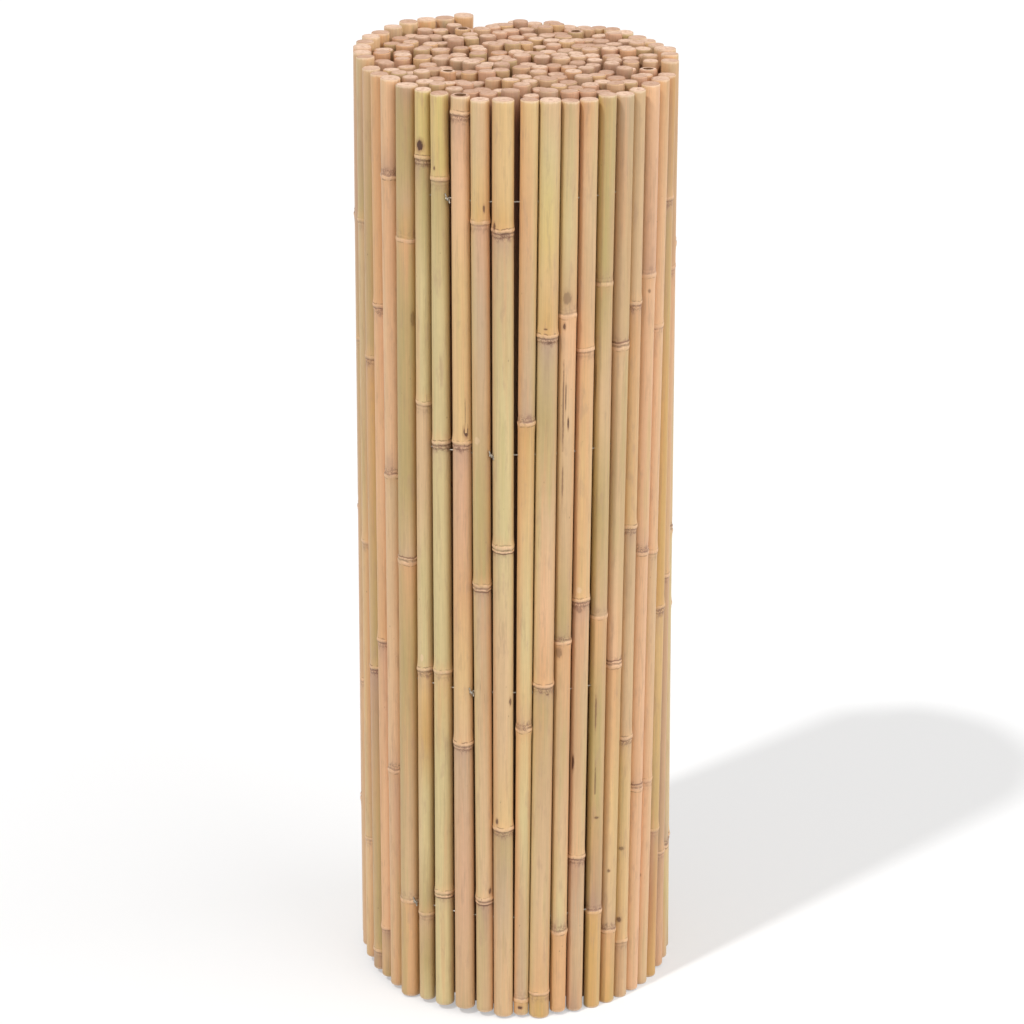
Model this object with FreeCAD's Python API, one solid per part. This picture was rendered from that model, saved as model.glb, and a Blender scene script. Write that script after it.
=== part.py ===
import FreeCAD, Part
import math
import os
import random

# A bamboo fence panel, rolled up and standing on end. It is one long row of canes, drilled
# through and threaded side by side on four thin wires. The free end of the row is at the back,
# and the row runs from there round the left side, the front and the right side, tucks in under
# its own free end and winds on inwards. Millimetres, Z up, the roll's axis on Z, its foot on
# Z = 0, its front towards -Y. Azimuths are in degrees from the front, positive to the right.

# Canes. A cane's section has flats, and its diameter is measured across them.
cane_length = 1000.0
cane_diameter = 17.2
diameter_spread = 1.4
taper_spread = 0.8
outer_sides = 8
inner_sides = 6

# Nodes, the raised rings along a cane
node_rise = 0.5
node_step = 4.0
internode = 325.0
internode_spread = 60.0
node_end_margin = 14.0

# Hollow ends, where a cane was sawn between two nodes
hollow_wall = 3.2
hollow_depth = 30.0
hollow_spots = ((4.0, -58.0), (131.0, -29.0), (-55.0, 101.0), (-70.0, -60.0), (60.0, 92.0))

# Wires, in level rows up the panel
wire_thickness = 1.4
wire_rows = 4
foot_to_first_wire = 118.0
last_wire_to_top = 101.0
shortest_link = 2.0
wire_tail_out = 5.0
wire_tail_down = 12.0

# The roll. Gaps are those between the node rings of neighbours in the row.
free_end_top_azimuth = -159.2
free_end_foot_azimuth = -153.0
tuck_angle = 24.0
nest_clearance = 0.4
inner_gap = 0.6
inner_gap_spread = 0.2
foot_unevenness = 6.0
named_turns = 7

# The tops stand higher towards the back and the left: the rise in the middle of the roll, how
# much it grows per millimetre that way, and the rise of the outer turn's back.
middle_rise = 6.5
rise_backwards = 0.040
rise_leftwards = 0.018
back_rise = 8.0
rise_spread = 2.0

# The free end's canes: how much thicker than the others at the top and at the foot, the gap
# before the cane at the top and at the foot, how high it stands, and how much longer it is.
end_canes = (
    (1.8, 1.4, 2.0, 2.0, 17.0, 2.0),
    (1.4, 1.2, 2.0, 2.8, 16.0, 2.0),
    (1.2, 1.2, 2.8, 3.0, 16.0, 3.0),
    (0.8, 0.6, 5.0, 3.4, 17.0, 3.0),
    (0.4, 0.4, 5.4, 3.6, 16.0, 3.0),
    (0.2, 0.4, 5.4, 3.6, 15.0, 2.0),
    (0.0, 0.2, 5.0, 3.6, 14.0, 4.0),
    (-0.2, 0.0, 4.0, 4.0, 13.0, 4.0),
    (0.0, 0.2, 3.8, 4.0, 12.0, 5.0),
    (-0.2, 0.0, 3.8, 4.0, 10.0, 6.0),
)

# The front's canes from left to right: the same values, and the heights of their nodes.
front_canes = (
    (-0.2, 0.2, 2.4, 6.6, 9.0, 7.0, (156.0, 503.0, 851.0)),
    (-0.6, -0.2, 3.2, 6.6, 7.0, 2.0, (30.0, 369.0, 713.0)),
    (-0.8, -1.2, 2.4, 1.8, 7.0, 0.5, (68.0, 407.0, 773.0)),
    (1.2, -0.2, 1.9, 0.8, 5.0, 2.5, (266.0, 598.0, 912.0)),
    (3.2, 3.2, 4.5, 0.8, 2.0, 3.0, (120.0, 511.0, 853.0)),
    (-2.2, -1.2, 2.0, 4.4, 5.0, -1.5, (110.0, 395.0, 686.0, 937.0)),
    (-0.6, 1.8, 2.1, 4.0, 6.0, -4.0, (142.0, 398.0, 648.0, 919.0)),
    (0.2, 2.8, 4.4, 3.4, 7.0, -5.0, (321.0, 651.0, 986.0)),
    (0.2, -0.2, 1.2, 2.6, 6.0, -7.0, (142.0, 500.0, 879.0)),
    (2.8, 2.0, 2.9, 0.8, 2.0, -2.0, (226.0, 543.0, 872.0)),
    (-0.6, -2.6, 6.0, 0.9, 3.0, -3.0, (23.0, 342.0, 676.0)),
    (2.2, 3.2, 1.1, 0.8, 0.0, -1.0, (30.0, 390.0, 765.0)),
    (-0.4, -1.2, 0.9, 1.2, 4.0, -7.0, (103.0, 437.0, 785.0)),
    (-0.6, -1.2, 2.2, 2.0, 2.0, -5.5, (186.0, 479.0, 746.0)),
    (-0.6, -1.2, 3.5, 4.3, 0.0, -1.5, (118.0, 458.0, 812.0)),
    (0.4, -1.2, 3.8, 1.8, 0.0, -4.0, (90.0, 398.0, 743.0)),
    (-2.0, -1.2, 1.3, 1.8, 0.0, -3.0, (68.0, 309.0, 545.0, 783.0)),
    (-0.2, -1.2, 6.2, 1.0, 1.0, -2.5, (244.0, 512.0, 808.0)),
    (-0.2, -1.2, 5.1, 0.8, 0.0, -1.5, (245.0, 505.0, 748.0)),
    (-0.2, -0.2, 5.9, 1.5, 0.0, -2.5, (178.0, 435.0, 874.0)),
    (-0.2, -0.2, 4.9, 3.6, 2.0, 4.5, (141.0, 461.0, 796.0)),
)
hollow_front_index = 7

# The back's canes, which run on from the front's, are a little thinner and laid by rule.
back_canes = 16
back_thickness = -0.9
back_top_gap = 1.1
back_foot_gap = 6.0
top_gap_spread = 0.3
foot_gap_spread = 1.4

# How the places are searched for
halvings = 40
first_heading = 30
last_heading = 200
canes_near = 3

chance = random.Random(11)
os.makedirs("parts", exist_ok=True)


def spread(middle, reach):
    """A value up to reach above or below the middle."""
    return middle + chance.uniform(-reach, reach)


def between(start, end, share):
    """The value that lies this share of the way from start to end."""
    return start + share * (end - start)


def corner_share(sides):
    """How much further a section's corners lie from its middle than its flats."""
    return 1 / math.cos(math.pi / sides)


def node_heights(foot):
    """Heights of a cane's nodes, one internode after another."""
    heights = []
    height = foot + chance.uniform(node_end_margin, internode)
    while height < foot + cane_length:
        heights.append(height)
        height += spread(internode, internode_spread)
    return heights


def cane_row():
    """The outer turn's canes in the row's order, from its free end inwards."""
    canes = []
    for thick_top, thick_foot, gap_top, gap_foot, foot, longer, *nodes in end_canes + front_canes:
        canes.append(dict(
            top_diameter=cane_diameter + thick_top, foot_diameter=cane_diameter + thick_foot,
            top_gap=gap_top, foot_gap=gap_foot, foot=foot, top=foot + cane_length + longer,
            nodes=nodes[0] if nodes else node_heights(foot)))
    for number in range(back_canes):
        diameter = spread(cane_diameter + back_thickness, diameter_spread)
        foot = max(0.0, spread(0.0, foot_unevenness))
        canes.append(dict(
            top_diameter=diameter, foot_diameter=spread(diameter, taper_spread),
            top_gap=spread(back_top_gap, top_gap_spread),
            foot_gap=spread(back_foot_gap, foot_gap_spread),
            foot=foot, top=cane_length + spread(back_rise, rise_spread), nodes=node_heights(foot)))
    return canes


def path_radius(radius, angle):
    """Distance from the axis along the outer turn, which tucks in under its own free end."""
    tuck = math.radians(tuck_angle)
    share = min(1.0, max(0.0, (angle - 2 * math.pi + tuck) / tuck))
    drop = cane_diameter + 2 * node_rise + nest_clearance
    return radius - drop * share * share * (3 - 2 * share)


def chord(radius, first, second):
    """Distance in plan between two places on the outer turn."""
    near, far = path_radius(radius, first), path_radius(radius, second)
    return math.sqrt(near * near + far * far - 2 * near * far * math.cos(second - first))


def angles_round(radius, pitches):
    """Angles of the canes from the free end, each one pitch on from the one before."""
    angles = [0.0]
    for pitch in pitches:
        low, high = angles[-1], angles[-1] + math.pi / 2
        for halving in range(halvings):
            middle = (low + high) / 2
            if chord(radius, angles[-1], middle) < pitch:
                low = middle
            else:
                high = middle
        angles.append(high)
    return angles


def close_turn(diameters, gaps):
    """The radius at which the outer turn just goes round once, and its canes' angles."""
    room = 2 * node_rise
    following = diameters[1:] + [cane_diameter]
    gaps_after = gaps[1:] + [inner_gap]
    pitches = [(first + second) / 2 + room + gap
               for first, second, gap in zip(diameters, following, gaps_after)]
    low, high = sum(pitches) / (4 * math.pi), sum(pitches) / math.pi
    for halving in range(halvings):
        radius = (low + high) / 2
        if angles_round(radius, pitches)[-1] > 2 * math.pi:
            low = radius
        else:
            high = radius
    return radius, angles_round(radius, pitches)[:-1]


def lay_outer_turn(canes, level, free_end_azimuth):
    """Gives each cane of the outer turn its place in plan at the top or at the foot."""
    diameters = [cane[level + "_diameter"] for cane in canes]
    gaps = [cane[level + "_gap"] for cane in canes]
    radius, angles = close_turn(diameters, gaps)
    for cane, angle in zip(canes, angles):
        azimuth = math.radians(free_end_azimuth) + angle
        reach = path_radius(radius, angle)
        cane[level + "_place"] = (reach * math.sin(azimuth), -reach * math.cos(azimuth))
    return radius


def line_distance(place, start, end):
    """Distance in plan from a place to the line between two others."""
    along_x, along_y = end[0] - start[0], end[1] - start[1]
    off_x, off_y = place[0] - start[0], place[1] - start[1]
    length = along_x * along_x + along_y * along_y
    share = min(1.0, max(0.0, (off_x * along_x + off_y * along_y) / length)) if length else 0.0
    return math.hypot(off_x - share * along_x, off_y - share * along_y)


def flat_distance(off_x, off_y):
    """Distance between two upright inner canes' middles, measured square to their flats."""
    normals = [math.pi * (2 * number + 1) / inner_sides for number in range(inner_sides)]
    return max(off_x * math.cos(normal) + off_y * math.sin(normal) for normal in normals)


def is_clear(place, radius, near_outer, near_inner):
    """Whether an upright inner cane at this place clears the canes round it."""
    corners = radius * corner_share(inner_sides)
    for start, end, reach in near_outer:
        if line_distance(place, start, end) < reach + corners + nest_clearance:
            return False
    for other, reach in near_inner:
        if flat_distance(place[0] - other[0], place[1] - other[1]) < reach + radius + nest_clearance:
            return False
    return True


def lay_inner_turns(outer):
    """Winds the row on inwards, each cane as far out as the canes already laid let it lie."""
    outer_room = []
    for cane in outer:
        thickest = max(cane["top_diameter"], cane["foot_diameter"]) / 2 + node_rise
        outer_room.append((cane["foot_place"], cane["top_place"], thickest * corner_share(outer_sides)))
    inner = []
    last, last_radius = outer[-1]["top_place"], outer_room[-1][2]
    turned = 2 * math.pi
    while True:
        chance.seed(len(inner))
        radius = spread(cane_diameter, diameter_spread) / 2
        gap = spread(inner_gap, inner_gap_spread)
        reach = canes_near * (cane_diameter + diameter_spread)
        near_outer = [room for room in outer_room if line_distance(last, room[0], room[1]) < reach]
        near_inner = [
            (c["top_place"], c["radius"]) for c in inner if math.dist(last, c["top_place"]) < reach]
        outward = math.atan2(last[1], last[0])
        place = None
        for degrees in range(first_heading, last_heading):
            heading = outward + math.radians(degrees)
            pitch = (last_radius + radius + gap) / flat_distance(math.cos(heading), math.sin(heading))
            place = (last[0] + pitch * math.cos(heading), last[1] + pitch * math.sin(heading))
            if is_clear(place, radius, near_outer, near_inner):
                break
            place = None
        if place is None:
            return inner
        step = math.atan2(place[1], place[0]) - outward
        turned += (step + math.pi) % (2 * math.pi) - math.pi
        inner.append(dict(
            foot_place=place, top_place=place, radius=radius,
            foot=max(0.0, spread(0.0, foot_unevenness)), top=top_height(place),
            turn=int(turned / (2 * math.pi)) + 1))
        last, last_radius = place, radius


def top_height(place):
    """How high the row stands at a place inside the roll."""
    rise = middle_rise + rise_backwards * place[1] - rise_leftwards * place[0]
    return cane_length + spread(rise, rise_spread)


def ring(place, z, flat_radius, sides, first_corner=0.0):
    """The corners of a level section."""
    reach = flat_radius * corner_share(sides)
    angles = [first_corner + 2 * math.pi * number / sides for number in range(sides)]
    return [
        FreeCAD.Vector(place[0] + reach * math.cos(a), place[1] + reach * math.sin(a), z)
        for a in angles]


def flat_face(corners):
    """A flat face with these corners."""
    return Part.Face(Part.makePolygon(corners + corners[:1]))


def skin(rings):
    """A solid through level sections, each with the same number of corners."""
    faces = [flat_face(rings[0]), flat_face(rings[-1])]
    for lower, upper in zip(rings, rings[1:]):
        for number in range(len(lower)):
            following = (number + 1) % len(lower)
            faces.append(flat_face([lower[number], lower[following], upper[following], upper[number]]))
    return Part.makeSolid(Part.makeShell(faces))


def axis_at(cane, z):
    """Where a cane's axis is in plan at a height."""
    share = z / cane_length
    foot, top = cane["foot_place"], cane["top_place"]
    return between(foot[0], top[0], share), between(foot[1], top[1], share)


def outer_cane(cane):
    """A cane of the outer turn: a slight taper, and a raised ring at each node."""
    middle = axis_at(cane, cane_length / 2)
    first_corner = math.atan2(middle[1], middle[0]) + math.pi / outer_sides

    def section(z, rise):
        diameter = between(cane["foot_diameter"], cane["top_diameter"], z / cane_length)
        return ring(axis_at(cane, z), z, diameter / 2 + rise, outer_sides, first_corner)

    rings = [section(cane["foot"], 0.0)]
    for height in cane["nodes"]:
        if cane["foot"] + node_end_margin < height < cane["top"] - node_end_margin:
            rings.append(section(height - node_step, 0.0))
            rings.append(section(height, node_rise))
    rings.append(section(cane["top"], 0.0))
    return skin(rings)


def inner_cane(cane):
    """An upright cane of the inner turns."""
    ends = (cane["foot"], cane["top"])
    return skin([ring(cane["top_place"], z, cane["radius"], inner_sides) for z in ends])


def hollow(cane, radius, sides):
    """What is missing from a cane's sawn top where it was cut between two nodes."""
    ends = (cane["top"] - hollow_depth, cane["top"] + hollow_depth)
    return skin([ring(cane["top_place"], z, radius - hollow_wall, sides) for z in ends])


def wire_block(long, deep, out, start, towards, z):
    """A block of wire that points from one place towards another."""
    corner = FreeCAD.Vector(out, -wire_thickness / 2, wire_thickness / 2 - deep)
    block = Part.makeBox(long, wire_thickness, deep, corner)
    heading = math.degrees(math.atan2(towards[1] - start[1], towards[0] - start[0]))
    block.rotate(FreeCAD.Vector(0, 0, 0), FreeCAD.Vector(0, 0, 1), heading)
    block.translate(FreeCAD.Vector(start[0], start[1], z))
    return block


def wire_tail(cane, place, towards, z):
    """The wire's end, out of the row's first cane and bent down along it."""
    out = cane["foot_diameter"] / 2 + node_rise + wire_tail_out
    run = wire_block(out, wire_thickness, 0.0, place, towards, z)
    drop = wire_block(wire_thickness, wire_tail_down, out - wire_thickness, place, towards, z)
    return run.fuse(drop).removeSplitter()


def wire(row, solids, z):
    """A wire where it shows: its tail, and its stretches between the canes, seated on both."""
    places = [axis_at(cane, z) for cane in row]
    beyond = (2 * places[0][0] - places[1][0], 2 * places[0][1] - places[1][1])
    links = [wire_tail(row[0], places[0], beyond, z).cut(solids[0]).Solids[0]]
    for start, end, first, second in zip(places, places[1:], solids, solids[1:]):
        link = wire_block(math.dist(start, end), wire_thickness, 0.0, start, end, z)
        link = link.cut(first).cut(second)
        if link.Volume > shortest_link * wire_thickness ** 2:
            links.append(link.Solids[0])
    return links


def write(name, solids):
    """Writes one sub-part of one or more solids."""
    shape = solids[0] if len(solids) == 1 else Part.makeCompound(solids)
    shape.exportStep("parts/%s.step" % name)


outer = cane_row()
top_radius = lay_outer_turn(outer, "top", free_end_top_azimuth)
foot_radius = lay_outer_turn(outer, "foot", free_end_foot_azimuth)
inner = lay_inner_turns(outer)

outer_solids = [outer_cane(cane) for cane in outer]
number = len(end_canes) + hollow_front_index
space = hollow(outer[number], outer[number]["top_diameter"] / 2, outer_sides)
outer_solids[number] = outer_solids[number].cut(space)

inner_solids = [inner_cane(cane) for cane in inner]
for spot in hollow_spots:
    number = min(range(len(inner)), key=lambda n: math.dist(inner[n]["top_place"], spot))
    space = hollow(inner[number], inner[number]["radius"], inner_sides)
    inner_solids[number] = inner_solids[number].cut(space)

for number, solid in enumerate(outer_solids):
    write("cane_%02d" % (number + 1), [solid])
for turn in range(2, named_turns + 1):
    write("turn_%d_canes" % turn, [s for c, s in zip(inner, inner_solids) if c["turn"] == turn])
write("core_canes", [s for c, s in zip(inner, inner_solids) if c["turn"] > named_turns])

wire_spacing = (cane_length - foot_to_first_wire - last_wire_to_top) / (wire_rows - 1)
for number in range(wire_rows):
    z = foot_to_first_wire + number * wire_spacing
    write("wire_%d" % (number + 1), wire(outer + inner[:1], outer_solids + inner_solids[:1], z))

print("canes in the outer turn", len(outer), "and inside", len(inner))
print("roll across at the top", round(2 * top_radius + cane_diameter, 1))
print("roll across at the foot", round(2 * foot_radius + cane_diameter, 1))
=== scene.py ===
import functools
import math
import random

import bpy
import numpy as np
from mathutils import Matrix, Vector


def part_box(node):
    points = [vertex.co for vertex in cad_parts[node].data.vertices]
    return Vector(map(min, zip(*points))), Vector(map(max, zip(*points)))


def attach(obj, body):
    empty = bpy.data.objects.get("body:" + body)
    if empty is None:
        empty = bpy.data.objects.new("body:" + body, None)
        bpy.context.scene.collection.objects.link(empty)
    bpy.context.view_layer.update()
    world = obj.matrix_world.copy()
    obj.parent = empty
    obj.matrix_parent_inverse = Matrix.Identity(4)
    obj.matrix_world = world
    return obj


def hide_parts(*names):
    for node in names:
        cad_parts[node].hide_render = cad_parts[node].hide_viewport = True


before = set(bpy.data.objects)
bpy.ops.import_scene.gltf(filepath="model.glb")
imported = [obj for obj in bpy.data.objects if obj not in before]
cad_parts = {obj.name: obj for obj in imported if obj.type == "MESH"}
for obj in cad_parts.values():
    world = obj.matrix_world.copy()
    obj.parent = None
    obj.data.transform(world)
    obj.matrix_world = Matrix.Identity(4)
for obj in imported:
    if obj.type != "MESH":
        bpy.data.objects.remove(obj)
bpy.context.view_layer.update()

bl_info = {
    "name": "Rolled Bamboo Fence Panel",
    "version": (1, 0, 0),
    "blender": (4, 5, 0),
    "location": "View3D > Sidebar > Bamboo Panel",
    "description": "Dresses a rolled bamboo fence panel: its canes, its wires and the studio round it",
    "category": "Object",
}

# The master canes that every cane is copied from, in metres. Each row of a joint gives a height
# above or below the node, and how far the skin stands out there.
MASTER_LENGTH = 1.0
MASTER_RADIUS = 0.0086
JOINT_HALF = 0.012
JOINT_PROFILE = (
    (-0.0120, 0.00000), (-0.0068, -0.00010), (-0.0050, 0.00010), (-0.0042, 0.00070),
    (-0.0034, 0.00072), (-0.0028, 0.00020), (-0.0014, 0.00026), (-0.0004, 0.00090),
    (0.0012, 0.00105), (0.0030, 0.00070), (0.0060, 0.00026), (0.0120, 0.00000),
)
PLAIN_JOINT = (
    (-0.0120, 0.00000), (-0.0035, 0.00010), (0.0, 0.00060), (0.0040, 0.00030), (0.0120, 0.00000),
)
END_ROUND = ((0.0000, -0.00075), (0.0003, -0.00030), (0.0010, 0.00000), (0.0060, 0.00000))
# Most height between two rings of corners, on outer canes, on the second turn's and further in
STEP = 0.030
INNER_STEP = 0.2
UNBROKEN = 2.0
# How deep a hollow end is, and a radius that is inside its wall
HOLLOW_DEPTH = 0.030
HOLE_RADIUS = MASTER_RADIUS - 0.0024
# The sunken pith of a sawn end: its share of the radius, its sloping part and its depth
PITH_SHARE = 0.42
PITH_SLOPE = 0.45
PITH_DEPTH = 0.0007
# Faces that point up or down more than this, and are this near an end, are sawn
SAWN_SLOPE = 0.55
SAWN_REACH = 0.002

# Reading the solids. Corners within this height of each other are one level, and a level that is
# narrower than this share of the foot belongs to a hollow.
SAME_LEVEL = 2e-5
HOLLOW_SHARE = 0.8
INNER_SOLID_SIDES = 6
# The main ridge's middle lies this far below the solid's widest ring
NODE_DROP = 0.0015
# How far a cane fills its eight-sided solid, corner to corner
FULLNESS = 0.99

# Fitting a cane. A node keeps this far from the ends, and the ends keep their shape this far in.
NODE_ROOM = 0.0135
END_ZONE = 0.006
LEAST_STRETCH = 0.001
# From where to where a node's two rings reach, and how far its lean and lumps fade out
SECOND_RING = (-0.0065, -0.0022)
MAIN_RING = (-0.0022, 0.011)
RING_FADE = 0.011

# The skin's tones, from top to bottom of each cane. Bars stand for the nodes between. The free
# end's canes come first, then the front's.
END_TONES = (
    "orange tan|tan pink|sand|tan", "grey tan grey|sand grey|pink tan|tan",
    "orange tan|tan|sand|olive", "sand tan|pink tan|tan|sand", "grey tan pink|tan pink|tan|sand",
    "orange sand|olive tan|pink|tan", "sand orange|tan|olive tan|sand", "tan pink|sand|tan|pink",
    "pink tan|tan|pink|sand", "tan umber olive|olive tan|sand|tan",
)
FRONT_TONES = (
    "tan umber olive|tan tan orange|orange orange tan|peach orange",
    "tan olive olive|amber olive|umber olive olive|umber",
    "orange orange|peach peach orange|pink peach peach|umber tan olive",
    "peach peach pink|peach peach peach peach|sand peach|pink orange",
    "umber olive olive tan amber|orange olive olive olive sand|orange olive tan sand|orange orange",
    "lime lime lime|olive leaf leaf|sand sand leaf leaf|straw amber leaf leaf olive|tan olive leaf",
    "lime lime lime lime|olive leaf leaf|leaf leaf leaf|straw leaf leaf leaf|leaf leaf leaf",
    "sand sand|pink peach straw straw straw|pink pink orange straw sand|grey pink tan",
    "sand sand straw amber|pink grey tan olive olive|grey tan sand sand|umber tan tan",
    "straw straw straw amber|tan leaf leaf|leaf sand sand straw|olive grey sand sand",
    "straw orange tan grey|amber straw leaf straw|straw leaf tan grey|amber tan",
    "sand leaf lime straw amber|grey olive sand peach orange|olive tan sand orange|amber",
    "tan leaf tan|peach sand tan olive|orange tan sand leaf|orange orange",
    "orange sand tan orange|orange straw straw|pink tan tan sand|umber grey tan umber",
    "olive olive olive|olive sand olive tan|orange olive olive umber|amber amber",
    "grey tan tan|sand tan sand peach|orange straw sand|orange amber",
    "tan sand|orange straw|tan sand sand|straw straw|tan sand",
    "peach pink|peach peach|peach peach|peach peach",
    "orange peach|peach peach|sand peach|peach peach sand",
    "rust umber|umber amber amber|straw olive|umber rust amber",
    "tan umber|pink tan|umber umber|umber pink|tan",
)
BACK_TONES = "sand tan tan olive leaf orange orange pink grey straw umber"
INNER_TONES = "pink pink umber tan sand orange umber pink grey umber straw olive"

# How each front cane's nodes look, from the top down: plain, a strong line, double or scribbled.
# A capital first letter means that the cane stands upside down, with the bloom over its nodes.
NODE_LOOKS = (
    "ppp", "lsp", "llp", "Lll", "Pdp", "splp", "pspd", "lss", "pdd", "sdl", "Lsp", "slp", "Pll",
    "psl", "Ppl", "Ddl", "lllp", "Pld", "ppp", "lsp", "ppp",
)
# Each look's bloom, the strength of its line, and how far it is doubled
LOOKS = {
    "p": (0.45, 0.30, 0.10), "l": (0.75, 0.90, 0.20), "d": (0.60, 0.60, 1.00), "s": (0.90, 0.75, 0.45),
}
UPSIDE_DOWN_SHARE = 0.4
# How far from a node its marks are told from plain skin
MARK_REACH = 0.12

# The tones down the left and the right side of a front cane, and those for the other canes
SIDE_TONES = {
    13: ("orange", "pink"), 14: ("sand", "orange"), 15: ("olive", "amber"), 19: ("leaf", "orange"),
    21: ("orange", "leaf"), 22: ("leaf", "tan"), 24: ("pink", "sand"), 25: ("lime", "tan"),
    30: ("umber", "amber"),
}
SIDE_CHOICES = ("olive", "leaf", "orange", "pink", "tan", "sand")
SEEN_SIDE_SHARE = 0.6
OTHER_SIDE_SHARE = 0.4
# From where to where round the cane, in degrees from its front, a side's tone reaches
SIDE_FROM, SIDE_TO, SIDE_FADE = 12, 150, 40

# A scar's fading edge reaches past its measured size; the sizes below are in millimetres.
SCAR_REACH = 0.00135
# Scars on the front canes: the cane, its height, how far round to the right of the front in
# degrees, half its width and height in millimetres, and how dark it is.
FRONT_SCARS = (
    (13, 0.785, 55, 1.0, 7.0, 0.8), (13, 0.215, 40, 1.1, 2.0, 0.8), (14, 0.905, 50, 1.3, 1.4, 1.0),
    (15, 0.770, 30, 2.0, 7.0, 0.35), (16, 0.949, -24, 3.0, 4.6, 1.0),
    (16, 0.408, -28, 1.6, 3.4, -0.9), (17, 0.929, -38, 1.0, 1.6, 0.7), (18, 0.663, 22, 2.4, 4.6, 0.9),
    (18, 0.684, 18, 0.7, 12.0, 0.35), (19, 0.151, 40, 1.6, 3.0, 0.7), (19, 0.893, 24, 1.0, 3.0, 0.7),
    (19, 0.655, -30, 2.4, 3.4, -0.6), (20, 0.868, 10, 4.2, 2.2, 0.35),
    (20, 0.876, -52, 1.4, 3.0, 0.8), (20, 0.372, 45, 1.3, 3.6, 0.7), (20, 0.235, -40, 1.4, 2.6, 0.8),
    (21, 0.013, -8, 2.0, 1.6, 0.9), (22, 0.772, -10, 1.5, 0.8, 0.7), (22, 0.758, 5, 4.6, 1.4, 0.45),
    (22, 0.380, 25, 1.6, 0.8, 0.5), (23, 0.802, -5, 3.4, 5.4, 0.38), (23, 0.424, -28, 3.0, 5.0, 0.45),
    (23, 0.773, -20, 1.2, 2.6, 0.8), (23, 0.690, -20, 0.8, 36.0, 0.55),
    (23, 0.700, -4, 0.6, 12.0, 0.6), (23, 0.672, 14, 0.7, 5.0, 0.95),
    (23, 0.610, -18, 0.7, 14.0, 0.5), (24, 0.296, -40, 1.2, 7.0, 1.0),
    (24, 0.468, -12, 2.4, 2.4, 0.35), (24, 0.490, -15, 2.2, 3.0, -0.8),
    (25, 0.710, -50, 0.7, 18.0, 0.5), (25, 0.350, -10, 0.8, 16.0, 0.5),
    (25, 0.268, -5, 0.7, 15.0, 0.5), (25, 0.228, 10, 2.0, 1.2, 0.6), (26, 0.160, 0, 1.2, 1.6, 0.6),
    (27, 0.180, -5, 2.4, 1.8, 0.5), (27, 0.095, -10, 2.2, 2.4, 0.7), (28, 0.790, 20, 1.2, 1.6, 0.5),
    (29, 0.133, -20, 1.4, 1.7, 0.9),
)
# A place that is on no scar, and how far a face reaches to each side and up or down
FAR_OFF = 9.0
FACE_HALF_WIDTH, FACE_HALF_HEIGHT = 0.0012, 0.015

# How far each cane's skin pattern is moved, across and along, so that no two are alike
SKIN_DRIFT = (1, 1, 5)
# How deep the skin's and the sawn ends' relief is
RELIEF_DEPTH = 0.0004

# The outer canes' random draws start from this number and the cane's own
FIRST_SEED = 100

# The wires: half the solid's thickness; how far the bent tail stands out from the first cane; how
# far each point of the tail lies past the bend and below it; and the cane after which each wire
# has a twist.
SOLID_WIRE_HALF = 0.0007
TAIL_OUT = 0.0040
TAIL = ((0.0006, 0.0105), (0.0008, 0.002), (-0.0008, 0.0))
TWISTS = {"wire_4": 17, "wire_3": 19, "wire_2": 18, "wire_1": 15}
# Where the twist sits, out from the row's line, its turns, and the points along it
TWIST_OUT = 0.0052
TWIST_TURNS = 2
TWIST_POINTS = 16

# The studio. A lamp's width, its turn from the front and its height over the floor are in degrees.
FLOOR_SIZE = 30.0
LAMPS = {"key": (3.0, -47.5, 55.7), "fill": (70.0, 66.0, 28.0)}
WHITE = (1, 1, 1, 1)


def colour(red, green, blue):
    """A colour given as it looks on a screen, from 0 to 255, as the shader wants it."""
    parts = []
    for part in (red, green, blue):
        share = part / 255
        parts.append(share / 12.92 if share <= 0.04045 else ((share + 0.055) / 1.055) ** 2.4)
    return tuple(parts)


def tone(name, description, *shade):
    """A colour that can be chosen."""
    return bpy.props.FloatVectorProperty(
        name=name, description=description, subtype="COLOR", default=colour(*shade))


def length(name, description, metres):
    """A length that can be set."""
    return bpy.props.FloatProperty(name=name, description=description, default=metres, unit="LENGTH")


class BambooTones(bpy.types.PropertyGroup):
    """The bamboo's colours"""
    straw: tone("Straw", "Bright yellow skin", 228, 190, 134)
    sand: tone("Sand", "Light warm skin", 222, 186, 142)
    tan: tone("Tan", "Plain dry skin", 210, 175, 132)
    olive: tone("Olive", "Dull green skin", 194, 168, 114)
    leaf: tone("Leaf", "Light green skin", 219, 197, 144)
    lime: tone("Lime", "Yellow-green skin", 222, 196, 126)
    orange: tone("Orange", "Warm orange skin", 224, 175, 126)
    peach: tone("Peach", "Bright pinkish orange skin", 238, 190, 146)
    rust: tone("Rust", "Brownish orange skin", 194, 140, 96)
    amber: tone("Amber", "Strong yellow-orange skin", 214, 170, 106)
    pink: tone("Pink", "Pinkish skin", 220, 174, 138)
    grey: tone("Grey", "Weathered greyish skin", 202, 172, 138)
    umber: tone("Umber", "Dark stained skin", 188, 152, 122)


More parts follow.
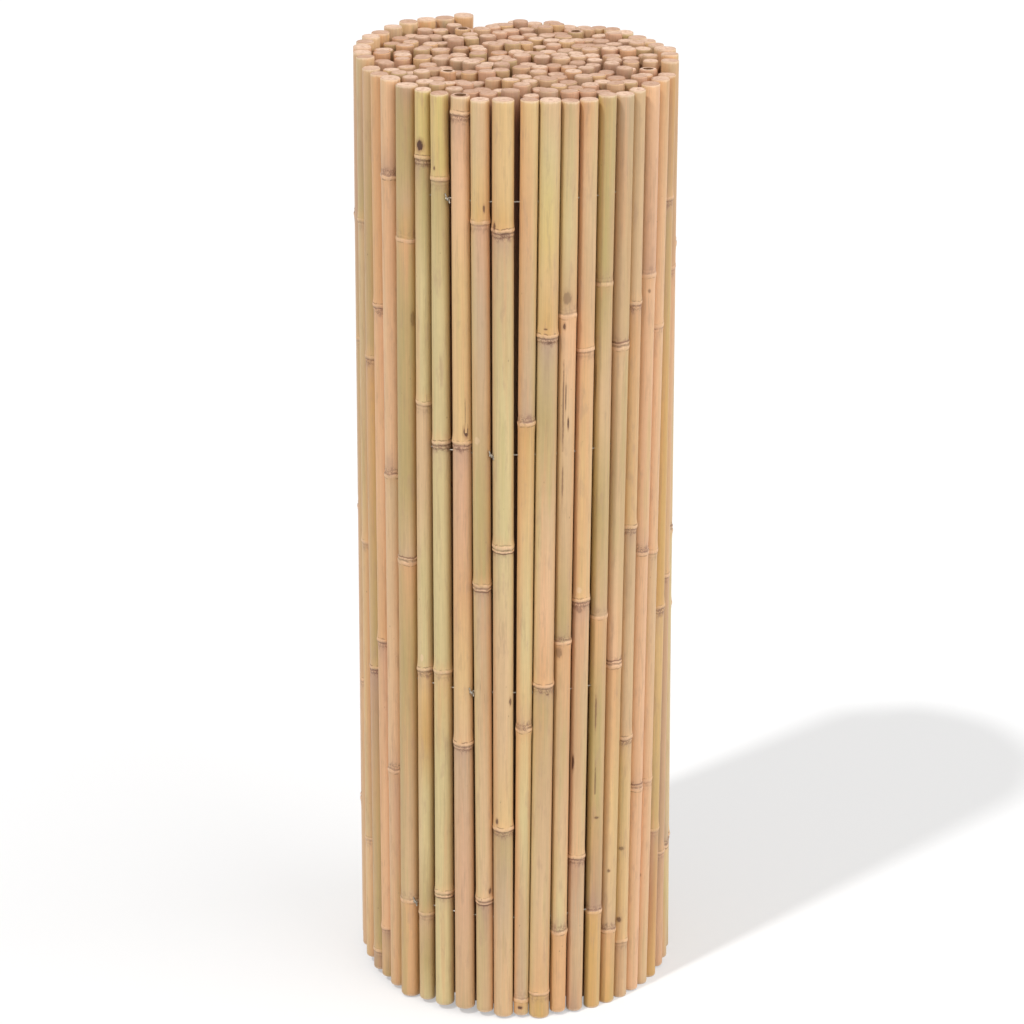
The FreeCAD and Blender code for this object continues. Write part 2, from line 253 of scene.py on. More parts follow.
class CaneShape(bpy.types.PropertyGroup):
    """The canes' shape beyond the plain solids"""
    sides: bpy.props.IntProperty(name="Sides", description="Sides of an outer cane", default=24, min=8)
    inner_sides: bpy.props.IntProperty(
        name="Inner sides", description="Sides of an inner cane", default=12, min=6)
    bend: length("Bend", "How far a cane strays at a node", 0.00035)
    oval: bpy.props.FloatProperty(
        name="Oval", description="How far a section is from round", default=0.02)
    lumps: length("Lumps", "Unevenness of the node rings", 0.00018)
    ring_lean: bpy.props.FloatProperty(
        name="Ring lean", description="Most slope of a node ring", default=0.10)
    saw_lean: bpy.props.FloatProperty(
        name="Saw lean", description="Most slope of a sawn end", default=0.05)
    uneven: length("Uneven", "How far inner canes' tops stray", 0.003)
    wall: length("Wall", "Wall of a hollow cane", 0.0032)


class WireShape(bpy.types.PropertyGroup):
    """The wires that the canes are threaded on"""
    thickness: length("Thickness", "Across the wire", 0.0015)
    waver: length("Waver", "How far holes stray up or down", 0.0009)
    twist: length("Twist", "Reach of the wound strand", 0.0022)


class Studio(bpy.types.PropertyGroup):
    """The camera and the light"""
    distance: length("Distance", "From the roll's axis", 2.9555)
    height: length("Height", "Of the camera over the floor", 1.6665)
    aside: length("Aside", "Of the camera to the left", 0.00405)
    pitch: bpy.props.FloatProperty(
        name="Pitch", description="Of the camera below level", default=0.3711, unit="ROTATION")
    lens: bpy.props.FloatProperty(
        name="Lens", description="Focal length in millimetres", default=104.95)
    key: bpy.props.FloatProperty(name="Key", description="Strength of the key light", default=1.65)
    fill: bpy.props.FloatProperty(
        name="Fill", description="Strength of the light from the right", default=1.6)
    around: bpy.props.FloatProperty(
        name="Around", description="Strength of the light from all round", default=0.50)
    shadow: bpy.props.FloatProperty(
        name="Shadow", description="How much of the floor's light is reflected", default=0.56)
    glow: bpy.props.FloatProperty(
        name="Glow", description="How white the floor is by itself", default=0.40)


# Small helpers for modelling as by hand

def deselect():
    """Leaves no object selected."""
    bpy.ops.object.select_all(action="DESELECT")


def activate(obj):
    """Selects this object alone."""
    deselect()
    obj.select_set(True)
    bpy.context.view_layer.objects.active = obj


def select_level(obj, height, reach=1e-6):
    """In edit mode, selects the corners at a height."""
    bpy.ops.object.mode_set(mode="OBJECT")
    mesh = obj.data
    for vertex in mesh.vertices:
        vertex.select = abs(vertex.co.z - height) < reach
    for part in (*mesh.edges, *mesh.polygons):
        part.select = all(mesh.vertices[n].select for n in part.vertices)
    bpy.ops.object.mode_set(mode="EDIT")


def extrude_up(height):
    """Draws the selection up, or down by a negative height."""
    bpy.ops.mesh.extrude_region_move(TRANSFORM_OT_translate={"value": (0, 0, height)})


# The master canes

def master_joints(count):
    """Heights of the nodes on a master cane."""
    return [MASTER_LENGTH * (2 * n + 1) / (2 * count) for n in range(count)]


def cane_profile(joints, joint, step):
    """Heights up a master cane, and how far its skin stands out at each."""
    rows = list(END_ROUND)

    def plain_up_to(last):
        height = rows[-1][0]
        count = max(1, round((last - height) / step))
        rows.extend((height + (last - height) * n / count, 0.0) for n in range(1, count))

    for node in joints:
        plain_up_to(node + joint[0][0])
        rows += [(node + up, out) for up, out in joint]
    plain_up_to(MASTER_LENGTH - END_ROUND[-1][0])
    return rows + [(MASTER_LENGTH - up, out) for up, out in reversed(END_ROUND)]


def model_master(name, sides, joint_count, joint, step, hollow):
    """One straight cane, drawn up ring by ring from a circle, with its two sawn ends."""
    rows = cane_profile(master_joints(joint_count), joint, step)
    deselect()
    bpy.ops.mesh.primitive_circle_add(
        vertices=sides, radius=MASTER_RADIUS + rows[0][1], fill_type="NOTHING")
    cane = bpy.context.active_object
    cane.name = name
    bpy.ops.object.mode_set(mode="EDIT")
    bpy.ops.mesh.select_all(action="SELECT")
    for (low, near), (high, out) in zip(rows, rows[1:]):
        extrude_up(high - low)
        share = (MASTER_RADIUS + out) / (MASTER_RADIUS + near)
        if share != 1:
            bpy.ops.transform.resize(value=(share, share, 1))
    for height, inwards in ((MASTER_LENGTH, -1), (0.0, 1)):
        select_level(cane, height)
        bpy.ops.mesh.edge_face_add()
        if hollow and height > 0:
            bpy.ops.mesh.inset(thickness=bpy.context.scene.cane_shape.wall + END_ROUND[0][1])
            extrude_up(inwards * HOLLOW_DEPTH)
        else:
            bpy.ops.mesh.inset(thickness=MASTER_RADIUS * (1 - PITH_SHARE))
            bpy.ops.mesh.inset(thickness=MASTER_RADIUS * PITH_SHARE * PITH_SLOPE)
            bpy.ops.transform.translate(value=(0, 0, inwards * PITH_DEPTH))
    bpy.ops.mesh.select_all(action="SELECT")
    bpy.ops.mesh.normals_make_consistent(inside=False)
    bpy.ops.object.mode_set(mode="OBJECT")
    for finish in (skin_material(), sawn_material(), hollow_material()):
        cane.data.materials.append(finish)
    for face in cane.data.polygons:
        middle = face.center
        from_top = MASTER_LENGTH - middle.z
        within = hollow and math.hypot(*middle.xy) < HOLE_RADIUS
        in_hole = within and 0.001 < from_top < HOLLOW_DEPTH + 0.001
        sawn = abs(face.normal.z) > SAWN_SLOPE and min(middle.z, from_top) < SAWN_REACH
        face.material_index = 2 if in_hole else 1 if sawn else 0
    activate(cane)
    bpy.ops.object.shade_smooth_by_angle(angle=math.radians(50))
    return cane


masters = {}


def master(sides, joint_count, joint, step, hollow):
    """The master cane of this kind, modelled when it is first wanted."""
    key = (sides, joint_count, len(joint), step, hollow)
    if key not in masters:
        masters[key] = model_master("master_%d" % len(masters), sides, joint_count, joint, step, hollow)
        masters[key].hide_render = True
    return masters[key]


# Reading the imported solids

def outer_cane_from(node):
    """A cane's line, radius and nodes, read from its solid."""
    corners = np.array([v.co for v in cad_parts[node].data.vertices])
    levels = []
    for height in sorted(set(np.round(corners[:, 2], 5))):
        ring = corners[np.abs(corners[:, 2] - height) < SAME_LEVEL][:, :2]
        ring = np.unique(np.round(ring, 6), axis=0)
        middle = ring.mean(0)
        reach = np.hypot(*(ring - middle).T).max() * FULLNESS
        levels.append((height, middle, reach))
    foot, top = levels[0], levels[-1]
    hollow = any(level[2] < HOLLOW_SHARE * foot[2] for level in levels)
    between = [level for level in levels[1:-1] if level[2] > HOLLOW_SHARE * foot[2]]
    return dict(
        foot=foot[0], top=top[0], foot_place=foot[1], top_place=top[1],
        foot_radius=foot[2], top_radius=top[2],
        nodes=[level[0] - NODE_DROP for level in between[1::2]], hollow=hollow)


def inner_canes_from(node):
    """The lines and radii of the canes in a turn, read from its solids."""
    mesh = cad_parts[node].data
    keys = {}
    where = [keys.setdefault(tuple(np.round(v.co, 5)), len(keys)) for v in mesh.vertices]
    parent = list(range(len(keys)))

    def root(n):
        while parent[n] != n:
            parent[n] = parent[parent[n]]
            n = parent[n]
        return n

    for face in mesh.polygons:
        first = root(where[face.vertices[0]])
        for n in face.vertices[1:]:
            parent[root(where[n])] = first
    solids = {}
    for place, n in keys.items():
        solids.setdefault(root(n), []).append(place)
    canes = []
    for places in solids.values():
        places = np.array(places)
        low, high = places[:, 2].min(), places[:, 2].max()
        middle = places[np.abs(places[:, 2] - low) < SAME_LEVEL / 2][:, :2].mean(0)
        reach = np.hypot(*(places[:, :2] - middle).T)
        radius = reach.max() * math.cos(math.pi / INNER_SOLID_SIDES)
        canes.append(dict(
            foot=low, top=high, foot_place=middle, top_place=middle,
            foot_radius=radius, top_radius=radius, nodes=[],
            hollow=reach.min() < HOLLOW_SHARE * reach.max()))
    return canes


def axis_at(cane, height):
    """Where a cane's axis passes a height, or several heights."""
    share = (height - cane["foot"]) / (cane["top"] - cane["foot"])
    return cane["foot_place"] + np.multiply.outer(share, cane["top_place"] - cane["foot_place"])


# Fitting a master cane to a cane of the panel

def either_way(chance, reach):
    """A random number up to this far to either side of nought."""
    return chance.uniform(-reach, reach)


def read(items, label, kind=float, width=1):
    """One value of all the points, corners or faces of a mesh."""
    values = np.empty(len(items) * width, kind)
    items.foreach_get(label, values)
    return values


def stretched(heights, cane, nodes):
    """Heights up a master cane, moved to where its ends and nodes lie on this cane."""
    foot, top = cane["foot"], cane["top"]
    before, after = [0.0, END_ZONE], [foot, foot + END_ZONE]
    for old, new in zip(master_joints(len(nodes)), nodes):
        below = min(JOINT_HALF, (new - after[-1]) * 0.9)
        before += [old - JOINT_HALF, old, old + JOINT_HALF]
        after += [new - below, new, new + JOINT_HALF]
    if nodes and after[-1] > top - END_ZONE - LEAST_STRETCH:
        after[-1] = (nodes[-1] + top - END_ZONE) / 2
    before += [MASTER_LENGTH - END_ZONE, MASTER_LENGTH]
    after += [top - END_ZONE, top]
    return np.interp(heights, before, after)


def ring_reach(stand_out, up, look):
    """How far the skin stands out, with a node's two rings as strong as its look wants."""
    _, line, double = look
    for (low, high), strength in ((SECOND_RING, 0.1 + 0.9 * double), (MAIN_RING, 0.65 + 0.4 * line)):
        stand_out = np.where((up > low) & (up < high), stand_out * strength, stand_out)
    return stand_out


def fit_cane(name, cane, sides, joint, step, skin, chance):
    """A copy of a master cane, fitted to one cane of the panel, with its skin's places and tones."""
    shape = bpy.context.scene.cane_shape
    nodes = [n for n in cane["nodes"] if cane["foot"] + NODE_ROOM < n < cane["top"] - NODE_ROOM]
    looks = skin["looks"][:len(nodes)] + [random_look(chance) for n in nodes[len(skin["looks"]):]]
    looks.reverse()
    source = master(sides, len(nodes), joint, step, cane["hollow"])
    deselect()
    fitted = source.copy()
    fitted.data = mesh = source.data.copy()
    fitted.name = mesh.name = name
    fitted.hide_render = False
    bpy.context.scene.collection.objects.link(fitted)

    # The master cane's corners, turned over where the cane stands upside down
    place = read(mesh.vertices, "co", width=3).reshape(-1, 3)
    growth = 1
    if skin["upside_down"] and not cane["hollow"]:
        growth = -1
        place = place * (1, -1, -1) + (0, 0, MASTER_LENGTH)
    angle = np.arctan2(place[:, 1], place[:, 0])
    reach = np.hypot(place[:, 0], place[:, 1])
    on_skin = reach > MASTER_RADIUS * 0.9

    # Their heights and radii on this cane
    z = stretched(place[:, 2], cane, nodes)
    if cane["hollow"]:
        bottom = (reach < HOLE_RADIUS) & (np.abs(place[:, 2] - MASTER_LENGTH + HOLLOW_DEPTH) < 0.02)
        z[bottom] = cane["top"] - HOLLOW_DEPTH
    share = (z - cane["foot"]) / (cane["top"] - cane["foot"])
    radius = cane["foot_radius"] + (cane["top_radius"] - cane["foot_radius"]) * share
    stand_out = reach - MASTER_RADIUS
    for old, look in zip(master_joints(len(nodes)), looks):
        stand_out = ring_reach(stand_out, (place[:, 2] - old) * growth, look)
    out = np.where(on_skin, radius + stand_out, reach * radius / MASTER_RADIUS)
    turn = chance.uniform(0, math.tau)
    out = out * (1 + shape.oval * (either_way(chance, 1) * np.cos(2 * angle + turn) - 0.3))

    # Leaning and lumpy rings, and ends that are sawn a little askew
    rise = np.zeros(len(z))
    for node in nodes:
        fade = np.clip(1 - np.abs(z - node) / RING_FADE, 0, 1)
        lean = either_way(chance, shape.ring_lean)
        toward = chance.uniform(0, math.tau)
        rise += fade * lean * np.cos(angle - toward) * out
        lump = chance.uniform(0, math.tau)
        lumps = np.cos(3 * angle + lump) + 0.7 * np.cos(5 * angle - 2 * lump)
        out = out + np.where(on_skin, fade * shape.lumps * lumps, 0)
    for end, sign in ((cane["foot"], 1), (cane["top"], -1)):
        fade = np.clip(1 - np.abs(z - end) / END_ZONE, 0, 1)
        lean = chance.uniform(0, shape.saw_lean)
        toward = chance.uniform(0, math.tau)
        rise += sign * fade * lean * (radius + out * np.cos(angle - toward))

    # The straightened cane, and the real one, which strays a little at each node
    strays = [(either_way(chance, shape.bend), either_way(chance, shape.bend)) for node in nodes]
    levels = [cane["foot"], *nodes, cane["top"]]
    bends = [np.interp(z, levels, side) for side in zip((0.0, 0.0), *strays, (0.0, 0.0))]
    local = np.stack([out * np.cos(angle), out * np.sin(angle), z], 1)
    world = local + np.column_stack([axis_at(cane, z) + np.stack(bends, 1), rise])
    mesh.vertices.foreach_set("co", world.ravel())
    paint_points(mesh, cane, local, reach / MASTER_RADIUS, skin, chance)
    paint_corners(mesh, cane, nodes, looks, local, growth, skin, chance)
    mesh.update()
    return fitted


# Painting a cane's skin

def write(mesh, label, domain, values):
    """Stores one, three or four numbers for each point or corner of a mesh."""
    kind, slot = {1: ("FLOAT", "value"), 3: ("FLOAT_VECTOR", "vector"), 4: ("FLOAT_COLOR", "color")}[
        values.size // len(values)]
    mesh.attributes.new(label, kind, domain).data.foreach_set(slot, values.ravel())


def wrapped(degrees):
    """Degrees brought to between -180 and 180."""
    return (degrees + 180) % 360 - 180


def paint_points(mesh, cane, local, from_middle, skin, chance):
    """Writes each spot's place on the straightened cane, how far it is from the cane's middle, and
    how far from the sawn ends; the last number tells the inner turns' canes."""
    drift = np.array([either_way(chance, reach) for reach in SKIN_DRIFT])
    height = local[:, 2]
    inside = np.full(len(height), skin["inside"])
    ends = np.stack([cane["top"] - height, height - cane["foot"], inside], 1)
    write(mesh, "skin_place", "POINT", local + drift)
    write(mesh, "ends", "POINT", ends)
    write(mesh, "from_middle", "POINT", from_middle)


def paint_corners(mesh, cane, nodes, looks, local, growth, skin, chance):
    """Writes the height above or below the nearest node, that node's look, the tone, and the place
    on the nearest scar."""
    spots = spots_on(mesh, local)
    offset, look = node_marks(spots, nodes, looks, growth)
    scars = skin["scars"]
    if not skin["looks"]:
        scars = scars + [random_scar(chance, node, growth) for node in nodes]
    write(mesh, "node_offset", "CORNER", offset)
    write(mesh, "scar_place", "CORNER", scar_places(spots, cane, scars))
    write(mesh, "skin_tone", "CORNER", tones_on(spots, cane, nodes, skin))
    write(mesh, "node_look", "CORNER", look)


def spots_on(mesh, local):
    """Where each corner lies on the straightened cane: its face, its height and its angle round the
    cane. Also the mean height and angle of each face."""
    corners = read(mesh.loops, "vertex_index", int)
    starts, sizes = (read(mesh.polygons, label, int) for label in ("loop_start", "loop_total"))
    face = np.repeat(np.arange(len(sizes)), sizes)
    height = local[:, 2][corners]
    around = np.degrees(np.arctan2(local[:, 0], -local[:, 1]))[corners]
    first = around[starts][face]
    around = first + wrapped(around - first)
    means = []
    for values in (height, around):
        total = np.zeros(len(sizes))
        np.add.at(total, face, values)
        means.append(total / sizes)
    return dict(face=face, height=height, around=around, face_height=means[0], face_around=means[1])


def node_marks(spots, nodes, looks, growth):
    """Each corner's height over the node nearest to its face, as the cane grew, and the node's look."""
    levels = np.array(nodes or [-1.0])
    nearest = np.abs(spots["face_height"][:, None] - levels).argmin(1)[spots["face"]]
    offset = np.clip((spots["height"] - levels[nearest]) * growth, -MARK_REACH, MARK_REACH)
    look = np.ones((len(offset), 4))
    if nodes:
        look[:, :3] = np.array(looks)[nearest]
    return offset, look


def tones_on(spots, cane, nodes, skin):
    """Each corner's tone: the tones between two nodes run into each other, and a different tone
    comes in down each side."""
    tones = bpy.context.scene.bamboo_tones
    rows = [[getattr(tones, word) for word in part.split()] for part in skin["words"].split("|")]
    borders = np.array([cane["top"], *reversed(nodes), cane["foot"]])
    rows += [rows[-1]] * (len(borders) - 1 - len(rows))
    zone = (spots["face_height"][:, None] < borders[1:-1]).sum(1)[spots["face"]]
    painted = np.ones((len(zone), 4))
    for number, (row, upper, lower) in enumerate(zip(rows, borders, borders[1:])):
        here = zone == number
        down = np.clip((upper - spots["height"][here]) / max(upper - lower, 1e-6), 0, 1)
        for channel, values in enumerate(np.array(row).T):
            painted[here, channel] = np.interp(down * (len(row) - 1), range(len(row)), values)
    for word, sign in zip(skin["sides"] or (), (-1, 1)):
        off = sign * spots["around"]
        share = np.clip((off - SIDE_FROM) / SIDE_FADE, 0, 1)
        share = (share * np.clip((SIDE_TO - off) / SIDE_FADE, 0, 1) * skin["side_share"])[:, None]
        painted[:, :3] += share * (np.array(getattr(tones, word)) - painted[:, :3])
    return painted


def scar_places(spots, cane, scars):
    """Each corner's place on the scar nearest to its face, in shares of the scar's size, and how
    dark that scar is."""
    face = spots["face"]
    places = np.full((len(face), 3), (FAR_OFF, FAR_OFF, 0.0))
    nearest = np.full(len(spots["face_height"]), FAR_OFF)
    per_degree = cane["foot_radius"] * math.pi / 180
    for height, degrees, width, tall, dark in scars:
        aside = wrapped(spots["face_around"] - degrees) * per_degree
        above = spots["face_height"] - height
        far = np.hypot(np.maximum(np.abs(aside) - FACE_HALF_WIDTH, 0) / width,
                       np.maximum(np.abs(above) - FACE_HALF_HEIGHT, 0) / tall)
        far = far + 0.001 * np.hypot(aside, above)
        closer = far < nearest
        nearest[closer] = far[closer]
        here = closer[face]
        turned = np.round((spots["face_around"][face] - degrees) / 360) * 360
        places[here, 0] = (spots["around"][here] - degrees - turned[here]) * per_degree / width
        places[here, 1] = (spots["height"][here] - height) / tall
        places[here, 2] = dark
    return places


def random_look(chance):
    """How much bloom a node has, how strong its line is, and how far it is doubled."""
    base = LOOKS[chance.choice("pplds")]
    return tuple(min(1.0, max(0.0, part + either_way(chance, 0.15))) for part in base)


def random_scar(chance, node, growth):
    """The bud scar over a node."""
    dark = chance.choice((0.15, 0.2, 0.3, 0.5, 0.8))
    return (node + growth * chance.uniform(0.004, 0.007), chance.uniform(0, 360),
            chance.uniform(0.0010, 0.0020), chance.uniform(0.0018, 0.0036), dark)


def random_words(chance, nodes, tones):
    """Tones for a cane whose skin the front doesn't show."""
    return "|".join(" ".join(chance.choice(tones.split()) for n in range(3)) for n in range(nodes + 1))


def skin_plan(words, looks="", upside_down=False, sides=None, side_share=0.0, scars=(), inside=0.0):
    """All that the painting of a cane's skin needs."""
    return dict(words=words, looks=[LOOKS[letter] for letter in looks.lower()], upside_down=upside_down,
                sides=sides, side_share=side_share, scars=list(scars), inside=inside)


# Material helpers

class Value:
    """What a shader node gives. A sum with it becomes a Math node beside it."""

    def __init__(self, socket):
        self.socket = socket
        self.tree = socket.id_data

    def __add__(self, other):
        return maths("ADD", self, other)

    def __sub__(self, other):
        return maths("SUBTRACT", self, other)

    def __mul__(self, other):
        return maths("MULTIPLY", self, other)


def feed(socket, value):
    """Links a value to an input, or sets the input to a plain number or colour."""
    if isinstance(value, Value):
        socket.id_data.links.new(value.socket, socket)
    else:
        socket.default_value = value


def add_node(tree, kind, inputs=None, **settings):
    """A shader node with its settings, and its inputs set or linked."""
    made = tree.nodes.new(kind)
    for key, value in settings.items():
        setattr(made, key, value)
    for key, value in (inputs or {}).items():
        feed(made.inputs[key], value)
    return made


def outputs_of(node):
    """All that a node gives, by name."""
    return {socket.name: Value(socket) for socket in node.outputs}


def result(tree, kind, inputs=None, output=0, **settings):
    """One output of a new shader node."""
    return Value(add_node(tree, kind, inputs, **settings).outputs[output])


def maths(operation, first, second=0.0):
    """The result of a Math node."""
    return result(first.tree, "ShaderNodeMath", {0: first, 1: second}, operation=operation)


def highest(*values):
    """The highest of several values."""
    return functools.reduce(functools.partial(maths, "MAXIMUM"), values)


def ramp(value, low, high, start=0.0, end=1.0):
    """A smooth step from start to end as a value goes from low to high."""
    inputs = {"Value": value, "From Min": low, "From Max": high, "To Min": start, "To Max": end}
    return result(value.tree, "ShaderNodeMapRange", inputs, interpolation_type="SMOOTHSTEP")


def band(value, middle, half, soft):
    """A mask that is 1 within half of a middle value and fades over soft."""
    return ramp(maths("ABSOLUTE", value - middle), half, half + soft, 1.0, 0.0)


def noise(place, stretch, scale, detail, rough=0.55):
    """A noise that is stretched along the cane."""
    mapped = result(place.tree, "ShaderNodeMapping", {"Vector": place, "Scale": (1, 1, stretch)})
    return result(place.tree, "ShaderNodeTexNoise", {
        "Vector": mapped, "Scale": scale, "Detail": detail, "Roughness": rough})


def mix(share, first, second, blend="MIX"):
    """The colour that a Mix node gives."""
    tree = [value.tree for value in (share, first, second) if isinstance(value, Value)][0]
    made = add_node(tree, "ShaderNodeMix", data_type="RGBA", blend_type=blend)
    for key, value in ((0, share), (6, first), (7, second)):
        feed(made.inputs[key], (*value, 1.0) if isinstance(value, tuple) else value)
    return Value(made.outputs[2])


def stained(base, stains):
    """A colour under stains, each with its mask, its strength and its colour."""
    for mask, strength, stain in stains:
        base = mix(mask * strength, base, colour(*stain))
    return base


def attribute(tree, name, output):
    """What the painting of the skin wrote on the mesh."""
    return result(tree, "ShaderNodeAttribute", None, output, attribute_name=name)


def new_group(name, **inputs):
    """A node group and its inputs. A number is a plain input's default, a word an input's kind."""
    tree = bpy.data.node_groups.new(name, "ShaderNodeTree")
    for label, value in inputs.items():
        plain = isinstance(value, float)
        socket = tree.interface.new_socket(
            name=label, in_out="INPUT", socket_type="NodeSocket" + ("Float" if plain else value))
        if plain:
            socket.default_value = value
    return tree, outputs_of(tree.nodes.new("NodeGroupInput"))


def finish_group(tree, **results):
    """Gives a node group its outputs."""
    for label in results:
        tree.interface.new_socket(name=label, in_out="OUTPUT", socket_type="NodeSocketFloat")
    add_node(tree, "NodeGroupOutput", results)
    return tree


def use_group(tree, group, inputs):
    """All that a node group gives in a material."""
    return outputs_of(add_node(tree, "ShaderNodeGroup", inputs, node_tree=group))


def new_material(name):
    """A new material and its node tree."""
    made = bpy.data.materials.new(name)
    made.use_nodes = True
    return made, made.node_tree


def finish_material(made, inputs, relief=None, strength=0.0):
    """Feeds a material's shader, and its bumps where it has a relief."""
    shader = made.node_tree.nodes["Principled BSDF"]
    if relief is not None:
        inputs["Normal"] = result(made.node_tree, "ShaderNodeBump", {
            "Height": relief, "Strength": strength, "Distance": RELIEF_DEPTH})
    for key, value in inputs.items():
        feed(shader.inputs[key], value)
    return made


# Node groups and materials, each built once

@functools.cache
def fibre_group():
    """Long fibres in the skin."""
    tree, start = new_group("Long fibres", Place="Vector", Contrast=0.2)
    place = start["Place"]
    both = noise(place, 0.02, 900.0, 2.0) * 0.6 + noise(place, 0.03, 260.0, 2.0) * 0.4
    across = (noise(place, 0.8, 150.0, 5.0, 0.7) - 0.5) * 0.12
    return finish_group(tree, Value=(both - 0.5) * start["Contrast"] + across + 1.0)


@functools.cache
def stain_group():
    """Soft stains with ragged edges."""
    tree, start = new_group(
        "Stains", Place="Vector", Scale=60.0, Length=0.3, Threshold=0.55, Softness=0.12)
    stretch = result(tree, "ShaderNodeCombineXYZ", {0: 1.0, 1: 1.0, 2: start["Length"]})
    mapped = result(tree, "ShaderNodeVectorMath", {0: start["Place"], 1: stretch}, operation="MULTIPLY")
    cloud = result(tree, "ShaderNodeTexNoise", {
        "Vector": mapped, "Scale": start["Scale"], "Detail": 5.0, "Roughness": 0.6})
    edge = start["Threshold"]
    return finish_group(tree, Mask=ramp(cloud, edge, edge + start["Softness"]))


@functools.cache
def joint_group():
    """The marks that a node leaves: its light ridges, the lines under them, scribbles, the bloom
    on one side and the blush on the other."""
    tree, start = new_group("Node marks", Offset=0.0, Place="Vector", Look="Color")
    place = start["Place"]
    look = outputs_of(add_node(tree, "ShaderNodeSeparateColor", {0: start["Look"]}))
    bloomy, strong, doubled = look["Red"], look["Green"], look["Blue"]
    small = (noise(place, 0.4, 260.0, 3.0) - 0.5) * 0.0024
    slow = (noise(place, 0.3, 70.0, 1.0) - 0.5) * 0.0040
    level = start["Offset"] + (small + slow)
    broken = ramp(noise(place, 0.3, 170.0, 2.0), 0.40, 0.60)

    main_ridge = band(level, 0.0008, 0.0012, 0.0014) * (broken * 0.45 + 0.55)
    ridge = highest(main_ridge, band(level, -0.0038, 0.0005, 0.0008) * doubled)

    upper = band(level, -0.0015, 0.0004, 0.0009) * (strong * 0.75 + 0.20) * (broken * 0.6 + 0.4)
    lower = band(level, -0.0054, 0.0004, 0.0009) * doubled
    over = band(level, 0.0034, 0.0002, 0.0008) * (broken * bloomy)
    curls = band(noise(place, 0.7, 420.0, 2.0), 0.50, 0.014, 0.034)
    scribble = curls * (band(level, -0.0036, 0.0020, 0.0030) * ramp(bloomy, 0.45, 0.85))
    line = highest(upper, lower, scribble, over)
    smudge = ramp(noise(place, 0.5, 280.0, 4.0), 0.46, 0.62)
    smudge = smudge * band(level, -0.0044, 0.0026, 0.0050) * bloomy

    depth = start["Offset"] + (noise(place, 0.10, 320.0, 4.0) - 0.5) * 0.034
    fade = ramp(depth, bloomy * -0.038 - 0.004, 0.0)
    patchy = ramp(noise(place, 0.35, 150.0, 4.0), 0.32, 0.62, 0.45, 1.0)
    bloom = fade * ramp(level, 0.0, -0.0012) * (bloomy * patchy)
    blush = ramp(depth, 0.018, 0.0) * ramp(level, 0.0004, 0.0014)
    return finish_group(tree, Ridge=ridge, Line=line, Bloom=bloom, Blush=blush, Smudge=smudge,
                        Height=ridge - line * 0.8)


@functools.cache
def scar_group():
    """A scar with a dark heart and a brown halo; a negative darkness makes a pale peeled spot."""
    tree, start = new_group("Scar", Spot="Vector", Place="Vector")
    spot = outputs_of(add_node(tree, "ShaderNodeSeparateXYZ", {0: start["Spot"]}))
    flat = result(tree, "ShaderNodeCombineXYZ", {0: spot["X"], 1: spot["Y"], 2: 0.0})
    far = result(tree, "ShaderNodeVectorMath", {0: flat}, "Value", operation="LENGTH")
    far = far + (noise(start["Place"], 0.35, 620.0, 3.0) - 0.5) * 0.9
    dark, pale = highest(spot["Z"], 0.0), highest(spot["Z"] * -1.0, 0.0)
    return finish_group(tree, Heart=ramp(far, 1.0, 0.62) * dark, Halo=ramp(far, 1.7, 0.7) * dark,
                        Pale=ramp(far, 1.1, 0.6) * pale)


@functools.cache
def speck_group():
    """Small dark specks and short hairline checks."""
    tree, start = new_group("Specks", Place="Vector", Share=0.5)
    place = start["Place"]
    cells = result(tree, "ShaderNodeMapping", {"Vector": place, "Scale": (1, 1, 0.6)})
    spots = result(tree, "ShaderNodeTexVoronoi", {"Vector": cells, "Scale": 170.0}, "Distance")
    specks = ramp(spots, 0.07, 0.14, 1.0, 0.0) * ramp(noise(place, 0.5, 90.0, 2.0), 0.60, 0.68)
    checks = ramp(noise(place, 0.035, 900.0, 1.0), 0.70, 0.74)
    checks = checks * ramp(noise(place, 0.15, 45.0, 2.0), 0.62, 0.70)
    return finish_group(tree, Specks=specks * start["Share"], Checks=checks * start["Share"])


